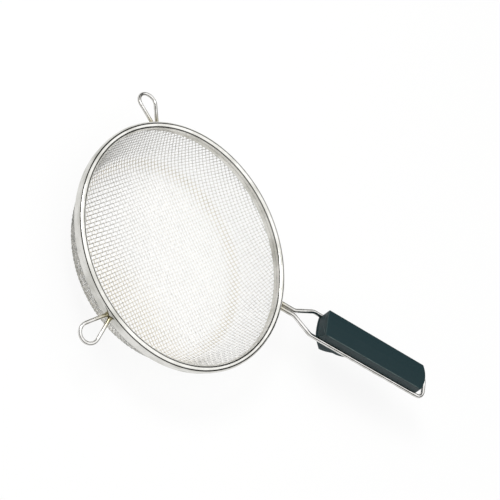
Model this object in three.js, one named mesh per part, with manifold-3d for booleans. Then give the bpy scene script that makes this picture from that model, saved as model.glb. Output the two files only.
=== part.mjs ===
// A round kitchen strainer: a wire-mesh bowl held in a folded rim with a wired edge, two wire loops
// that rest on a pot, and a hairpin wire handle clasped by a two-part plastic grip.
// Millimetres, +Z up. The origin is the centre of the bowl's flat bottom, and the handle lies along +X.
import * as THREE from 'three';
import { mergeVertices } from 'three/addons/utils/BufferGeometryUtils.js';
import Module from 'manifold-3d';

const wasm = await Module();
wasm.setup();

// Clearance between two pieces that touch on the real object
const FIT = 0.3;

// Rim: a sheet hoop folded over a stiffening wire, its two legs pinching the edge of the mesh
const RIM_DIAMETER = 203.2;
const RIM_HEIGHT = 44.4;
const RIM_SHEET = 0.55;
const CORE_WIRE_DIAMETER = 4.4;
const CORE_CLEARANCE = 0.35;
const INNER_BAND_HEIGHT = 6.6;
const SKIRT_MARGIN = 0.2;

// Mesh bowl: a leaning wall, a round shoulder and a flat bottom
const MESH_THICKNESS = 1.3;
const WALL_LEAN = THREE.MathUtils.degToRad(28);
const SHOULDER_RADIUS = 20;

// Mesh openings: a coarse square grid in place of the weave, set diagonally to the handle,
// with an unbroken band of mesh under the rim
const GRID_CELLS_ACROSS = 12;
const GRID_PITCH = 16;
const GRID_BAR = 3.4;
const GRID_TURN = THREE.MathUtils.degToRad(45);
const UNBROKEN_BAND = 2.2;

// Handle wire: two rods side by side at the rim, spread to the sides of the grip, joined behind it.
// The handle rises a little from the rim, and its lengths run along it from the rim's outer edge.
const HANDLE_WIRE_DIAMETER = 3.8;
const HANDLE_RISE = THREE.MathUtils.degToRad(1);
const HANDLE_REACH = 174;
const ROD_GAP = 0.5;
const SPLAY_START = 18.5;
const SPLAY_END = 37.8;
const SPLAY_BEND_RADIUS = 9;
const ROD_SPREAD = 21.8;
const END_BEND_RADIUS = 7;

// Rest loops: teardrops of wire on the side of the rim away from the handle
const LOOP_WIRE_DIAMETER = 3.0;
const LOOP_LENGTH = 30;
const LOOP_WIDTH = 18.5;
const LOOP_ROOT_GAP = 0.5;
const LOOP_AZIMUTH = THREE.MathUtils.degToRad(120);
const LOOP_DROOP = THREE.MathUtils.degToRad(8);

// Grip: an upper shell over the rods and a narrower lower shell with a finger stop at its front
const GRIP_START = 43.2;
const GRIP_END_GAP = 5.0;
const FRONT_BULGE = 1.2;
const END_BULGE = 3.5;
const UPPER_WIDTH = 23.6;
const UPPER_FOOT_WIDTH = 20.8;
const UPPER_EDGE_HEIGHT = 13.0;
const UPPER_CROWN = 0.9;
const FRONT_UNDERCUT = 2.5;
const UPPER_END_RAKE = 5.0;
const UPPER_ROOF = 2.4;
const UPPER_SIDE_WALL = 1.3;
const UPPER_END_WALL = 3.0;
const LOWER_WIDTH = 20.0;
const LOWER_DEPTH = 5.0;
const LOWER_TAPER = 0.03;
const STOP_DEPTH = 14.3;
const STOP_RAKE = 17.0;
const STOP_LENGTH = 40.0;
const HEEL_DEPTH = 9.8;
const HOLLOW_DEPTH = 9.2;
const PEG_DIAMETER = 4.6;
const PEG_INSET = 26;
const SOCKET_FLOOR = 1.6;

// Facets
const TURN_SEGMENTS = 60;
const BEAD_STEPS = 9;
const SHOULDER_STEPS = 6;
const CORE_SIDES = 8;
const HANDLE_SIDES = 10;
const HANDLE_STEPS = 80;
const LOOP_SIDES = 8;
const LOOP_STEPS = 32;
const GRIP_CURVE_STEPS = 10;
const PEG_SIDES = 12;

// Places worked out from the sizes above
const rimRadius = RIM_DIAMETER / 2;
const coreCavityRadius = CORE_WIRE_DIAMETER / 2 + CORE_CLEARANCE;
const beadRadius = coreCavityRadius + RIM_SHEET;
const hoopRadius = rimRadius - beadRadius;
const beadZ = RIM_HEIGHT - beadRadius;
const slotHalf = MESH_THICKNESS / 2 + FIT;
const legOffset = slotHalf + RIM_SHEET;
const beadFootDrop = Math.sqrt(beadRadius ** 2 - legOffset ** 2);
const skirtHeight = beadFootDrop + FIT + HANDLE_WIRE_DIAMETER + SKIRT_MARGIN;
const skirtRadius = hoopRadius + legOffset;
const innerBandEnd = beadZ - INNER_BAND_HEIGHT;
const weldRadius = skirtRadius + FIT;
const kneeZ = innerBandEnd - 2 * FIT;

const rodRadius = HANDLE_WIRE_DIAMETER / 2;
const handleZ = beadZ - beadFootDrop - FIT - rodRadius;

// Places along the handle, in a frame with its origin at the weld and X along the rods
const rimEdgeX = rimRadius - weldRadius;
const rodY = ROD_SPREAD / 2;
const rodRootY = rodRadius + ROD_GAP / 2;
const apexX = rimEdgeX + HANDLE_REACH - rodRadius;
const gripStartX = rimEdgeX + GRIP_START;
const gripEndX = apexX - rodRadius - GRIP_END_GAP;
const frontArcRadius = arcRadius(UPPER_WIDTH, FRONT_BULGE);
const endArcRadius = arcRadius(UPPER_WIDTH, END_BULGE);
const grooveRadius = rodRadius + FIT;
const partingHalf = FIT / 2;
const upperTop = UPPER_EDGE_HEIGHT + UPPER_CROWN;
const cavityHalf = rodY - grooveRadius - UPPER_SIDE_WALL;
const cavityTop = upperTop - UPPER_ROOF - UPPER_CROWN * (2 * cavityHalf / UPPER_WIDTH) ** 2;
const pegXs = [gripStartX + PEG_INSET, gripEndX - PEG_INSET];
const pegEnd = -(LOWER_DEPTH - SOCKET_FLOOR - FIT);

// Materials
const tinnedSheet = new THREE.MeshStandardMaterial({ color: 0xd6d4cb, metalness: 1, roughness: 0.28 });
const tinnedWire = new THREE.MeshStandardMaterial({ color: 0xcfcdc4, metalness: 1, roughness: 0.25 });
const wovenWire = new THREE.MeshStandardMaterial({ color: 0xc4c3bb, metalness: 1, roughness: 0.45 });
const blackPlastic = new THREE.MeshStandardMaterial({ color: 0x1b2426, metalness: 0, roughness: 0.45 });

// Radius of the arc that rises to a height over the middle of a chord
function arcRadius(chord, height) {
  return (chord ** 2 / 4 + height ** 2) / (2 * height);
}

// Points of an arc in a plane, from one angle to another
function arcPoints(centreX, centreY, radius, from, to, steps) {
  return Array.from({ length: steps + 1 }, (unused, i) => {
    const angle = from + (to - from) * i / steps;
    return new THREE.Vector2(centreX + radius * Math.cos(angle), centreY + radius * Math.sin(angle));
  });
}

// A solid of revolution about Z from a profile of (radius, height)
function turned(profile) {
  return new THREE.LatheGeometry(profile, TURN_SEGMENTS).rotateX(Math.PI / 2);
}

// One round bend of a wire, from a start direction to an end direction about a centre
class BendCurve extends THREE.Curve {
  constructor(centre, startArm, endArm, angle) {
    super();
    this.centre = centre;
    this.startArm = startArm;
    this.sideArm = endArm.clone().addScaledVector(startArm, -Math.cos(angle)).divideScalar(Math.sin(angle));
    this.angle = angle;
  }

  getPoint(t, target = new THREE.Vector3()) {
    const turn = this.angle * t;
    return target.copy(this.centre)
      .addScaledVector(this.startArm, Math.cos(turn))
      .addScaledVector(this.sideArm, Math.sin(turn));
  }
}

// A path of straight runs through the corners, with a round bend at each inner corner
function bentPath(corners, bendRadii) {
  const path = new THREE.CurvePath();
  let from = corners[0];
  for (let i = 1; i < corners.length - 1; i += 1) {
    const inward = corners[i].clone().sub(corners[i - 1]).normalize();
    const outward = corners[i + 1].clone().sub(corners[i]).normalize();
    const angle = inward.angleTo(outward);
    const trim = bendRadii[i - 1] * Math.tan(angle / 2);
    const bendStart = corners[i].clone().addScaledVector(inward, -trim);
    const bendEnd = corners[i].clone().addScaledVector(outward, trim);
    const middle = outward.clone().sub(inward).normalize();
    const centre = corners[i].clone().addScaledVector(middle, bendRadii[i - 1] / Math.cos(angle / 2));
    path.add(new THREE.LineCurve3(from, bendStart));
    path.add(new BendCurve(centre, bendStart.clone().sub(centre), bendEnd.clone().sub(centre), angle));
    from = bendEnd;
  }
  path.add(new THREE.LineCurve3(from, corners[corners.length - 1]));
  return path;
}

// A round rod along a path: a full circle gets twice its curve segments
function rod(path, radius, sides, steps) {
  const section = new THREE.Shape().absarc(0, 0, radius, 0, 2 * Math.PI, false);
  return new THREE.ExtrudeGeometry(section, { steps, curveSegments: sides / 2, extrudePath: path });
}

// The three directions of the handle's frame
const AXIS = {
  X: new THREE.Vector3(1, 0, 0),
  Y: new THREE.Vector3(0, 1, 0),
  Z: new THREE.Vector3(0, 0, 1),
};

// A flat outline in two directions of the frame, drawn out along the third from a start
function prism(outline, across, up, depth, start) {
  const out = new THREE.Vector3().crossVectors(across, up);
  const solid = new THREE.ExtrudeGeometry(outline, {
    depth, curveSegments: GRIP_CURVE_STEPS, bevelEnabled: false,
  });
  return solid.translate(0, 0, start).applyMatrix4(new THREE.Matrix4().makeBasis(across, up, out));
}

function toSolid(geometry) {
  const bare = geometry.clone();
  bare.deleteAttribute('normal');
  bare.deleteAttribute('uv');
  const welded = mergeVertices(bare);
  return new wasm.Manifold(new wasm.Mesh({
    numProp: 3,
    vertProperties: new Float32Array(welded.attributes.position.array),
    triVerts: new Uint32Array(welded.index.array),
  }));
}

function toGeometry(solid) {
  const { vertProperties, triVerts } = solid.getMesh();
  const geometry = new THREE.BufferGeometry();
  geometry.setAttribute('position', new THREE.BufferAttribute(vertProperties, 3));
  geometry.setIndex(new THREE.BufferAttribute(triVerts, 1));
  geometry.computeVertexNormals();
  return geometry;
}

// The rim's sheet: outer leg, round the bead, inner leg, then back along the slot and the bead's hollow
function rimHoop() {
  const footAngle = Math.asin(beadFootDrop / beadRadius);
  const mouthAngle = Math.acos(slotHalf / coreCavityRadius);
  const profile = [
    new THREE.Vector2(hoopRadius + slotHalf, beadZ - skirtHeight),
    new THREE.Vector2(hoopRadius + legOffset, beadZ - skirtHeight),
    ...arcPoints(hoopRadius, beadZ, beadRadius, -footAngle, Math.PI + footAngle, BEAD_STEPS),
    new THREE.Vector2(hoopRadius - legOffset, innerBandEnd),
    new THREE.Vector2(hoopRadius - slotHalf, innerBandEnd),
    ...arcPoints(hoopRadius, beadZ, coreCavityRadius, Math.PI + mouthAngle, -mouthAngle, BEAD_STEPS),
  ];
  return turned([...profile, profile[0]]);
}

// The stiffening wire, a closed ring inside the bead
function rimCoreWire() {
  return turned(arcPoints(hoopRadius, beadZ, CORE_WIRE_DIAMETER / 2, 0, 2 * Math.PI, CORE_SIDES));
}

// One face of the mesh, from the axis along the bottom, round the shoulder, up the wall and the collar
function meshFace(offset) {
  const shoulderZ = MESH_THICKNESS / 2 + SHOULDER_RADIUS;
  const wallEndZ = shoulderZ - SHOULDER_RADIUS * Math.sin(WALL_LEAN);
  const wallEndRadius = hoopRadius - (kneeZ - wallEndZ) * Math.tan(WALL_LEAN);
  const flatRadius = wallEndRadius - SHOULDER_RADIUS * Math.cos(WALL_LEAN);
  const bend = SHOULDER_RADIUS + offset;
  return [
    new THREE.Vector2(0, shoulderZ - bend),
    ...arcPoints(flatRadius, shoulderZ, bend, -Math.PI / 2, -WALL_LEAN, SHOULDER_STEPS),
    new THREE.Vector2(hoopRadius + offset, kneeZ - offset * Math.tan(WALL_LEAN / 2)),
    new THREE.Vector2(hoopRadius + offset, beadZ - CORE_WIRE_DIAMETER / 2 - FIT),
  ];
}

// The grid's openings: upright square prisms through the bowl, up to the unbroken band
function meshOpenings() {
  const width = GRID_PITCH - GRID_BAR;
  const top = kneeZ - UNBROKEN_BAND;
  const reach = hoopRadius - GRID_PITCH / 2;
  const places = Array.from({ length: GRID_CELLS_ACROSS }, (unused, i) => {
    return (i + 0.5 - GRID_CELLS_ACROSS / 2) * GRID_PITCH;
  });
  const cells = [];
  for (const x of places) {
    for (const y of places) {
      const nearCorner = Math.hypot(Math.abs(x) - width / 2, Math.abs(y) - width / 2);
      if (nearCorner < reach) {
        const cell = new THREE.BoxGeometry(width, width, 2 * top).translate(x, y, 0).rotateZ(GRID_TURN);
        cells.push(toSolid(cell));
      }
    }
  }
  return wasm.Manifold.union(cells);
}

function meshBowl() {
  const half = MESH_THICKNESS / 2;
  const shell = turned([...meshFace(half), ...meshFace(-half).reverse()]);
  return toGeometry(toSolid(shell).subtract(meshOpenings()));
}

// The hairpin's centre line in the handle's frame, from one end at the rim to the other
function handlePath() {
  const side = (sign) => [
    new THREE.Vector3(rodRadius * Math.sin(HANDLE_RISE), sign * rodRootY, 0),
    new THREE.Vector3(rimEdgeX + SPLAY_START, sign * rodRootY, 0),
    new THREE.Vector3(rimEdgeX + SPLAY_END, sign * rodY, 0),
    new THREE.Vector3(apexX, sign * rodY, 0),
  ];
  const bends = [SPLAY_BEND_RADIUS, SPLAY_BEND_RADIUS, END_BEND_RADIUS];
  return bentPath([...side(-1), ...side(1).reverse()], [...bends, ...bends.slice().reverse()]);
}

// A rest loop in its own frame: out from the rim along X, a teardrop in the XY plane
function restLoop() {
  const wireRadius = LOOP_WIRE_DIAMETER / 2;
  const endRadius = LOOP_WIDTH / 2 - wireRadius;
  const endX = LOOP_LENGTH - LOOP_WIDTH / 2;
  const root = new THREE.Vector3(wireRadius * Math.sin(LOOP_DROOP), wireRadius + LOOP_ROOT_GAP / 2, 0);
  const toRoot = Math.atan2(root.y, root.x - endX);
  const tangent = Math.acos(endRadius / Math.hypot(root.x - endX, root.y));
  const startAngle = toRoot - tangent;
  const rim = (angle) => new THREE.Vector3(endRadius * Math.cos(angle), endRadius * Math.sin(angle), 0);
  const centre = new THREE.Vector3(endX, 0, 0);
  const mirror = (point) => new THREE.Vector3(point.x, -point.y, point.z);
  const path = new THREE.CurvePath();
  const touch = rim(startAngle).add(centre);
  const end = rim(0);
  path.add(new THREE.LineCurve3(root, touch));
  path.add(new BendCurve(centre, rim(startAngle), end, startAngle));
  path.add(new BendCurve(centre, end, rim(-startAngle), startAngle));
  path.add(new THREE.LineCurve3(mirror(touch), mirror(root)));
  return rod(path, wireRadius, LOOP_SIDES, LOOP_STEPS);
}

// The room that the handle wire takes up in the grip
function wireGroove() {
  return toSolid(rod(handlePath(), grooveRadius, HANDLE_SIDES, HANDLE_STEPS));
}

// A bar whose two ends bulge, seen from above
function gripPlan(width, height, start) {
  const front = Math.asin(width / 2 / frontArcRadius);
  const end = Math.asin(width / 2 / endArcRadius);
  const outline = new THREE.Shape()
    .absarc(gripEndX - endArcRadius, 0, endArcRadius, -end, end, false)
    .absarc(gripStartX + frontArcRadius, 0, frontArcRadius, Math.PI - front, Math.PI + front, false);
  return toSolid(prism(outline, AXIS.X, AXIS.Y, height, start));
}

function peg(radius, bottom, top, x) {
  const pin = new THREE.CylinderGeometry(radius, radius, top - bottom, PEG_SIDES);
  return toSolid(pin.rotateX(Math.PI / 2).translate(x, 0, (top + bottom) / 2));
}

// Upper shell: crowned top, undercut front, raked end, hollow inside, with pegs for the lower shell
function gripUpper() {
  const half = UPPER_WIDTH / 2;
  const footHalf = UPPER_FOOT_WIDTH / 2;
  const crownRadius = arcRadius(UPPER_WIDTH, UPPER_CROWN);
  const crownAngle = Math.acos(half / crownRadius);
  const bottom = partingHalf;
  const length = gripEndX - gripStartX;
  const cavityStart = gripStartX + FRONT_BULGE + FRONT_UNDERCUT + UPPER_END_WALL;
  const cavityEnd = gripEndX - END_BULGE - UPPER_END_RAKE - UPPER_END_WALL;
  const section = new THREE.Shape()
    .moveTo(-footHalf, bottom)
    .lineTo(footHalf, bottom)
    .lineTo(half, UPPER_EDGE_HEIGHT)
    .absarc(0, upperTop - crownRadius, crownRadius, crownAngle, Math.PI - crownAngle, false);
  const side = new THREE.Shape()
    .moveTo(gripStartX + FRONT_UNDERCUT, bottom)
    .lineTo(gripEndX, bottom)
    .lineTo(gripEndX - UPPER_END_RAKE, upperTop)
    .lineTo(gripStartX, upperTop);
  const cavity = new THREE.Shape()
    .moveTo(cavityStart, bottom - FIT)
    .lineTo(cavityEnd, bottom - FIT)
    .lineTo(cavityEnd, cavityTop)
    .lineTo(cavityStart, cavityTop);
  let shell = toSolid(prism(section, AXIS.Y, AXIS.Z, length, gripStartX))
    .intersect(gripPlan(UPPER_WIDTH, upperTop, 0))
    .intersect(toSolid(prism(side, AXIS.X, AXIS.Z, UPPER_WIDTH, -half)))
    .subtract(toSolid(prism(cavity, AXIS.X, AXIS.Z, 2 * cavityHalf, -cavityHalf)))
    .subtract(wireGroove());
  for (const x of pegXs) {
    shell = shell.add(peg(PEG_DIAMETER / 2, pegEnd, cavityTop + FIT, x));
  }
  return toGeometry(shell);
}

// Lower shell: a shallow tongue under the rods that deepens to a two-step finger stop at the front
function gripLower() {
  const half = LOWER_WIDTH / 2;
  const top = -partingHalf;
  const stopFoot = half - LOWER_TAPER * STOP_DEPTH;
  const length = gripEndX - gripStartX;
  const section = new THREE.Shape()
    .moveTo(half, top)
    .lineTo(-half, top)
    .lineTo(-stopFoot, -STOP_DEPTH)
    .lineTo(stopFoot, -STOP_DEPTH);
  const stopX = gripStartX + STOP_RAKE;
  const heelX = gripStartX + STOP_LENGTH;
  const hollowX = (stopX + heelX) / 2;
  const side = new THREE.Shape()
    .moveTo(gripEndX, top)
    .lineTo(gripStartX + FRONT_UNDERCUT, top)
    .lineTo(stopX, -STOP_DEPTH)
    .quadraticCurveTo((stopX + hollowX) / 2, -STOP_DEPTH, hollowX, -HOLLOW_DEPTH)
    .quadraticCurveTo((hollowX + heelX) / 2, -HEEL_DEPTH, heelX, -LOWER_DEPTH)
    .lineTo(gripEndX, -LOWER_DEPTH);
  let shell = toSolid(prism(section, AXIS.Y, AXIS.Z, length, gripStartX))
    .intersect(gripPlan(LOWER_WIDTH, STOP_DEPTH, -STOP_DEPTH))
    .intersect(toSolid(prism(side, AXIS.X, AXIS.Z, LOWER_WIDTH, -half)))
    .subtract(wireGroove());
  for (const x of pegXs) {
    shell = shell.subtract(peg(PEG_DIAMETER / 2 + FIT, pegEnd - FIT, FIT, x));
  }
  return toGeometry(shell);
}

function part(name, geometry, material) {
  const mesh = new THREE.Mesh(geometry, material);
  mesh.name = name;
  return mesh;
}

// A rest loop standing out from the rim at an azimuth, drooping a little
function placedLoop(name, azimuth) {
  const loop = part(name, restLoop(), tinnedWire);
  loop.position.set(weldRadius, 0, beadZ - beadFootDrop - FIT - LOOP_WIRE_DIAMETER / 2);
  loop.rotation.y = LOOP_DROOP;
  const arm = new THREE.Group();
  arm.rotation.z = azimuth;
  arm.add(loop);
  return arm;
}

// The handle's pieces, tilted together about the weld
const handle = new THREE.Group();
handle.position.set(weldRadius, 0, handleZ);
handle.rotation.y = -HANDLE_RISE;
handle.add(
  part('handle_wire', rod(handlePath(), rodRadius, HANDLE_SIDES, HANDLE_STEPS), tinnedWire),
  part('grip_upper', gripUpper(), blackPlastic),
  part('grip_lower', gripLower(), blackPlastic),
);

const strainer = new THREE.Group();
strainer.add(
  part('rim_hoop', rimHoop(), tinnedSheet),
  part('rim_core_wire', rimCoreWire(), tinnedWire),
  part('mesh_bowl', meshBowl(), wovenWire),
  placedLoop('rest_loop_left', LOOP_AZIMUTH),
  placedLoop('rest_loop_right', -LOOP_AZIMUTH),
  handle,
);

export default strainer;
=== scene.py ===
"""A wire mesh strainer with a folded rim, a hairpin handle, two rest loops and a two-shell grip."""

from math import cos, pi, radians, sin

import bpy
import numpy as np
from bpy.props import FloatProperty, FloatVectorProperty, IntProperty, PointerProperty
from mathutils import Matrix, Vector


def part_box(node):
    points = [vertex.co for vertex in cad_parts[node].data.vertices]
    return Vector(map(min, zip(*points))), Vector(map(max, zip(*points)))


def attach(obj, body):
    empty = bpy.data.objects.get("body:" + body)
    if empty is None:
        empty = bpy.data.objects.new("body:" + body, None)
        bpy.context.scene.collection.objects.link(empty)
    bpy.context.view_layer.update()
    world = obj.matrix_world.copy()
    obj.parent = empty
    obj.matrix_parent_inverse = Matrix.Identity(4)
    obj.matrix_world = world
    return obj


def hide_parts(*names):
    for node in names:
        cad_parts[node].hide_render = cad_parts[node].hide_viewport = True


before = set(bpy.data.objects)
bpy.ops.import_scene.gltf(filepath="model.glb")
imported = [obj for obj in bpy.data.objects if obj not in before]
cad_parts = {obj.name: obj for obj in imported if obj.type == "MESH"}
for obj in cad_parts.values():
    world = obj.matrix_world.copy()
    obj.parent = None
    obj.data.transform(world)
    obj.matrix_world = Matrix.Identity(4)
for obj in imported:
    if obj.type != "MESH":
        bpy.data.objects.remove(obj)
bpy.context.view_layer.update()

bl_info = {
    "name": "Wire mesh strainer",
    "version": (1, 0, 0),
    "blender": (4, 5, 0),
    "location": "View3D > Sidebar > Strainer",
    "description": "Builds the dressed pieces of a round kitchen strainer over its packed model",
    "category": "Add Mesh",
}

MM = 0.001
RIM_LOW, RIM_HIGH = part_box("rim_hoop")
CLOTH_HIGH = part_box("mesh_bowl")[1]
# Width of the camera's sensor in millimetres
SENSOR_WIDTH = 36.0
WHITE = (1.0, 1.0, 1.0, 1.0)
# Faces that meet at a larger angle keep a sharp edge
SHARP_ANGLE = radians(50)
# Points of the rim's middle line: round the bead, through a neck and down the skirt
BEAD_STEPS = 41
NECK_STEPS = 9
SKIRT_STEPS = 7
# Where the cloth's two waves of drift begin, in radians, and how much faster the second swings
DRIFT_PHASES = (0.6, 2.1)
DRIFT_RATIO = 1.3
# Sides of the bowl, as level directions: the one that drains last and is painted lighter, and the one that
# stains
WET_LIT_SIDE = (0.97, 0.25, 0.0)
STAINED_SIDE = (-0.5, -0.87, 0.0)
# Rings along each bent wire, and points round it
HANDLE_RINGS = 420
HANDLE_SIDES = 20
LOOP_RINGS = 150
LOOP_SIDES = 18
# Points on a bend of the handle, and round a loop's eye
BEND_STEPS = 17
EYE_STEPS = 61
# Points on a rounded corner of a grip shell, and parts that each edge of its outline is cut into
ARC_STEPS = 7
EDGE_PARTS = 4
# Rings that close one end of a grip shell: on its face, and in all
FACE_STEPS = 6
END_STEPS = 13
# Size of the innermost of those rings, as a share of the section
FACE_CORE = 0.02
# Rings between a shell's two ends, and points on each curve of the finger stop
UPPER_RINGS = 24
LOWER_RINGS = 90
STOP_STEPS = 12
# Place of the top's inner bends, as a share of its half width
CROWN_SHARE = 0.55
# Point that the end faces close on, as a share of a shell's height or depth
UPPER_MIDDLE = 0.55
LOWER_MIDDLE = 0.5
# Wear of the upper shell's end edges, where the long edges have 1
END_WEAR = 0.4


# Properties

def linear(code):
    """The linear red, green and blue of an sRGB hex colour."""
    channels = np.array([int(code[start:start + 2], 16) for start in (1, 3, 5)]) / 255
    toe = channels / 12.92
    curve = ((channels + 0.055) / 1.055) ** 2.4
    return tuple(float(value) for value in np.where(channels <= 0.04045, toe, curve))


def length(label, meaning, default):
    """A length in metres."""
    return FloatProperty(
        name=label,
        description=meaning,
        default=default,
        min=0.0,
        precision=5,
        unit="LENGTH",
        subtype="DISTANCE",
    )


def turn(label, meaning, degrees):
    """An angle, given in degrees and kept in radians."""
    return FloatProperty(
        name=label, description=meaning, default=radians(degrees), unit="ROTATION", subtype="ANGLE"
    )


def tint(label, meaning, code):
    """A colour, given as sRGB hex and kept linear."""
    return FloatVectorProperty(
        name=label, description=meaning, default=linear(code), size=3, min=0.0, max=1.0, subtype="COLOR"
    )


class RimSizes(bpy.types.PropertyGroup):
    """The folded sheet rim."""

    radius: length("Radius", "Outside radius of the rim's bead", float(RIM_HIGH[0]))
    top: length("Top", "Height of the bead's top above the table", float(RIM_HIGH[2]))
    skirt_end: length("Skirt end", "Height of the outer skirt's lower edge", float(RIM_LOW[2]))
    band: length("Band", "Drop of the inner band below the bead's centre", 6.6 * MM)
    sheet: length("Sheet", "Thickness of the rim's sheet", 0.55 * MM)
    bead_radius: length("Bead radius", "Outside radius of the rolled bead", 3.1 * MM)
    neck: turn("Neck", "Angle below the bead's middle at which its round ends", 46.0)
    slot_half: length("Slot half", "Half the slot between the two folded legs", 0.95 * MM)
    skirt_flare: length("Skirt flare", "How far the skirt's lower edge turns out", 0.22 * MM)
    steps: IntProperty(name="Steps", description="Steps round the rim", default=288, min=48)


class ClothSizes(bpy.types.PropertyGroup):
    """The woven wire cloth and the bowl it is pressed to."""

    wire: length("Wire", "Diameter of the cloth's wire", 0.65 * MM)
    pitch: length("Pitch", "Spacing of the cloth's wires before pressing", 3.0 * MM)
    top: length("Top", "Height of the cloth's edge inside the rim", float(CLOTH_HIGH[2]))
    knee_drop: length("Knee drop", "Drop from the rim's inner band to the cloth's bend", 0.6 * MM)
    shoulder: length("Shoulder", "Radius of the bend from the bottom to the wall", 20.0 * MM)
    lean: turn("Lean", "Lean of the wall from upright", 28.0)
    weave_turn: turn("Weave turn", "Angle from the handle to the warp wires", 45.0)
    drift: length("Drift", "How far pressing pulls the wires out of line", 0.7 * MM)
    drift_span: length("Drift span", "Length of one swing of that drift", 85.0 * MM)
    sides: IntProperty(name="Sides", description="Sides of one wire", default=6, min=4)
    steps: IntProperty(name="Steps", description="Rings of a wire for each crossing", default=4, min=3)


class HandleSizes(bpy.types.PropertyGroup):
    """The hairpin wire that carries the grip."""

    wire: length("Wire", "Diameter of the handle wire", 3.8 * MM)
    weld_radius: length("Weld radius", "Distance from the bowl's axis to where the wires start", 100.3 * MM)
    weld_inset: length("Weld inset", "How far in from there a weld draws a wire's end", 0.25 * MM)
    height: length("Height", "Height of the wire where it meets the rim", 36.387 * MM)
    rise: turn("Rise", "Slope of the handle", 1.0)
    root_half: length("Root half", "Half the spacing of the two ends at the rim", 2.15 * MM)
    splay_start: length("Splay start", "Where the rods begin to spread", 19.8 * MM)
    splay_end: length("Splay end", "Where the rods run parallel again", 39.1 * MM)
    spread_half: length("Spread half", "Half the spacing of the parallel rods", 10.9 * MM)
    reach: length("Reach", "Distance to the middle of the wire's end bar", 173.3 * MM)
    splay_bend: length("Splay bend", "Radius of the bends at the spread", 9.0 * MM)
    end_bend: length("End bend", "Radius of the two end bends", 7.0 * MM)
    weld_reach: length("Weld reach", "How far a weld's collar runs along the wire", 1.1 * MM)
    weld_swell: length("Weld swell", "How far a weld's collar stands out from the wire", 0.45 * MM)
    weld_heat: length("Weld heat", "How far a weld's heat browns the wire", 8.0 * MM)


class LoopSizes(bpy.types.PropertyGroup):
    """The two rest loops."""

    wire: length("Wire", "Diameter of the loop wire", 3.0 * MM)
    height: length("Height", "Height of the loop wire where it meets the rim", 36.787 * MM)
    azimuth: turn("Azimuth", "Angle from the handle to each loop", 120.0)
    droop: turn("Droop", "Downward slope of the loops", 8.0)
    root_half: length("Root half", "Half the spacing of a loop's two ends", 1.75 * MM)
    eye_centre: length("Eye centre", "Distance from the rim to the centre of the eye", 20.74 * MM)
    eye_radius: length("Eye radius", "Radius of the eye to the middle of the wire", 7.75 * MM)


class GripSizes(bpy.types.PropertyGroup):
    """The two moulded shells, measured along and across the handle wire."""

    start: length("Start", "Where the grip's top begins", 44.5 * MM)
    end: length("End", "Where the grip's foot ends", 166.5 * MM)
    front_bulge: length("Front bulge", "How far the front face curves back at its sides", 1.2 * MM)
    end_bulge: length("End bulge", "How far the far face curves in at its sides", 3.5 * MM)
    parting: length("Parting", "Half the gap between the shells", 0.15 * MM)
    groove: length("Groove", "Radius of the groove that takes a rod", 2.2 * MM)
    edge_radius: length("Edge radius", "Rounding of the shells' edges", 0.7 * MM)
    groove_ease: length("Groove ease", "How far a groove's flat lies short of its radius", 0.1 * MM)
    parting_round: length("Parting round", "Rounding of the shells' edges at the parting", 0.2 * MM)
    foot_round: length("Foot round", "Rounding of the upper shell's foot", 0.35 * MM)
    lip_round: length("Lip round", "Rounding of the lower shell's upper edges", 0.3 * MM)
    crown_round: length("Crown round", "Rounding along the crowned top", 25.0 * MM)
    top_half: length("Top half", "Half the width over the upper shell's top edges", 11.8 * MM)
    foot_half: length("Foot half", "Half the width at the upper shell's foot", 10.6 * MM)
    edge_height: length("Edge height", "Height of the top edges over the rods' middle", 13.0 * MM)
    crown: length("Crown", "Rise of the top between its edges", 0.9 * MM)
    undercut: length("Undercut", "How far the front's foot lies behind its top edge", 2.5 * MM)
    end_rake: length("End rake", "How far the far face's top lies before its foot", 5.0 * MM)
    lower_half: length("Lower half", "Half the width of the lower shell", 10.0 * MM)
    lower_depth: length("Lower depth", "Depth of the lower shell behind the finger stop", 5.0 * MM)
    taper: FloatProperty(name="Taper", description="Inward lean of the lower sides", default=0.03, min=0.0)
    front_lip: length("Front lip", "Depth of the lower shell's front edge under the grooves", 0.6 * MM)
    stop_depth: length("Stop depth", "Depth of the finger stop", 14.3 * MM)
    stop_rake: length("Stop rake", "How far the stop's tip lies behind the front", 17.0 * MM)
    hollow_depth: length("Hollow depth", "Depth of the finger hollow behind the stop", 9.2 * MM)
    heel_depth: length("Heel depth", "Depth to which the heel's curve bends", 9.8 * MM)
    hollow_place: length("Hollow place", "Distance from the front to the finger hollow", 28.5 * MM)
    stop_length: length("Stop length", "Distance from the front to the plain lower shell", 40.0 * MM)


class Finishes(bpy.types.PropertyGroup):
    """Colours of the strainer's materials."""

    sheet: tint("Rim sheet", "Bright tin on the rim", "#dfdeda")
    sheet_dull: tint("Dull rim sheet", "Tin that has dulled in handling", "#b5b4ad")
    wire: tint("Wire", "Bright plating of the handle and loops", "#dedddb")
    wire_dull: tint("Dull wire", "Plating that has dulled", "#afada7")
    wire_heat: tint("Heated wire", "Plating browned by the weld's heat", "#a0987a")
    cloth: tint("Cloth", "Bare tin on the woven wire", "#cbcac7")
    # Also painted light: this white brightens the bottom and the side that drains last.
    cloth_film_and_light: tint("Filmed cloth", "Tin under a white film of hard water", "#fdfcfa")
    cloth_dull: tint("Dull cloth", "Grey film where the tin pooled", "#dfdcd5")
    # Also painted shade: the ring of this tone along the bend of the bottom.
    cloth_straw_and_shade: tint("Straw cloth", "Faint straw tone that washing leaves", "#c6b894")
    # Painted shade: dark specks on the outer face, which make the rest of it read as glints.
    cloth_outer_shade: tint("Outer cloth", "Grey specks on the weave's outer face", "#5b625f")
    plastic: tint("Plastic", "The black of the grip", "#1a3034")
    plastic_worn: tint("Worn plastic", "The grip's rubbed edges", "#74827f")


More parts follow.
